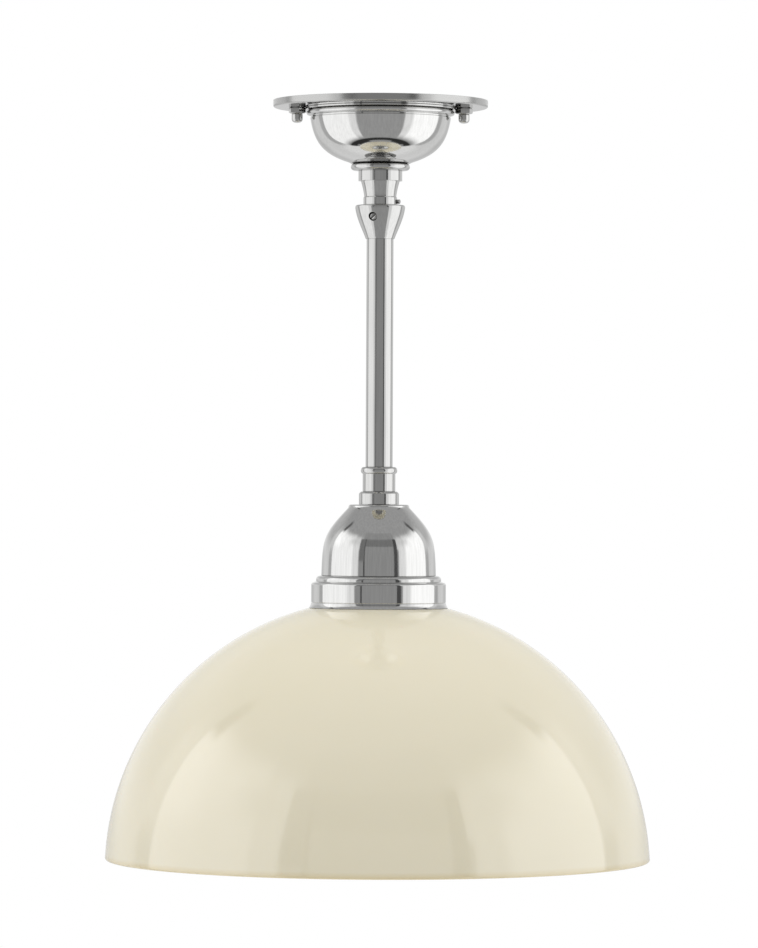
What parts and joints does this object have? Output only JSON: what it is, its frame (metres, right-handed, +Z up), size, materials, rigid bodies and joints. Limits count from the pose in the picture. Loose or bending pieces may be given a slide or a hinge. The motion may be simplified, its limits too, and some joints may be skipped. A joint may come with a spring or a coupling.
{
  "type": "pendant lamp",
  "caption": "Ceiling pendant lamp: spun canopy, turned neck, rigid tube stem with sliding conical ferrule, bell lampholder cover, stepped gallery and a domed opal glass shade.",
  "frame": {"origin": "centre of the mounting strap's upper face, which lies against the ceiling, on the lamp's axis", "axes": "+Z up into the ceiling, so the lamp hangs down along -Z; the two cap nuts lie on the X axis, with +X to the right in the picture; the viewer stands at -Y"},
  "size_m": [0.2498, 0.2498, 0.3486],
  "materials": {
    "polished_nickel": "nickel-plated brass, mirror polished",
    "opal_glass": "cream opal glass, fire polished, opaque",
    "zinc_steel": "zinc plated",
    "bare_brass": "turned",
    "black_thermoset": "moulded",
    "white_plastic": "moulded",
    "white_ceramic": "unglazed",
    "black_rubber": "moulded",
    "white_sheath": "extruded PVC",
    "brown_sheath": "extruded PVC",
    "blue_sheath": "extruded PVC",
    "earth_sheath": "extruded PVC",
    "frosted_bulb": "opal coated bulb glass"
  },
  "bodies": {
    "ceiling_rose": {"mounting_strap": "zinc_steel", "stud_left": "zinc_steel", "stud_right": "zinc_steel", "canopy_plate": "polished_nickel", "canopy_bowl": "polished_nickel", "cap_nut_left": "polished_nickel", "cap_nut_right": "polished_nickel", "terminal_block": "white_plastic", "terminal_screw_live": "bare_brass", "terminal_screw_earth": "bare_brass", "terminal_screw_neutral": "bare_brass", "rose_lead_live": "brown_sheath", "rose_lead_earth": "earth_sheath", "rose_lead_neutral": "blue_sheath", "supply_cable": "white_sheath", "neck": "polished_nickel", "neck_lock_screw": "polished_nickel", "neck_washer": "zinc_steel", "neck_nut": "bare_brass"},
    "stem": {"upper_nipple": "zinc_steel", "stem_tube": "polished_nickel", "coupling_sleeve": "polished_nickel", "bell_collar": "polished_nickel", "lower_nipple": "zinc_steel", "bell_nut": "bare_brass", "bell_cover": "polished_nickel", "gallery_ring": "polished_nickel", "gasket": "black_rubber", "glass_shade": "opal_glass", "shade_ring": "black_thermoset", "holder_cap": "black_thermoset", "holder_body": "black_thermoset", "contact_block": "white_ceramic", "centre_contact": "bare_brass", "threaded_shell": "bare_brass", "holder_lead_live": "brown_sheath", "holder_lead_neutral": "blue_sheath"},
    "ferrule": {"rod_ferrule": "polished_nickel", "ferrule_screw": "polished_nickel"},
    "bulb_tip": {"bulb_tip_contact": "zinc_steel", "bulb_insulator": "black_thermoset"},
    "bulb": {"bulb_cap": "zinc_steel", "bulb_globe": "frosted_bulb"}
  },
  "joints": [
    {"name": "stem_turn", "type": "hinge", "parent": "ceiling_rose", "child": "stem", "pos_m": [0, 0, -0.048], "axis": [0, 0, 1], "range_deg": [-170, 170]},
    {"name": "ferrule_slide", "type": "slide", "parent": "stem", "child": "ferrule", "axis": [0, 0, -1], "range_m": [0, 0.104]},
    {"name": "bulb_travel", "type": "slide", "parent": "stem", "child": "bulb_tip", "axis": [0, 0, -1], "range_m": [0, 0.0128]},
    {"name": "bulb_turn", "type": "hinge", "parent": "bulb_tip", "child": "bulb", "pos_m": [0, 0, -0.23], "axis": [0, 0, -1], "range_deg": [0, 1260]}
  ],
  "couplings": [
    {"joint": "bulb_travel", "follows": "bulb_turn", "m_per_rad": 0.00057757}
  ]
}
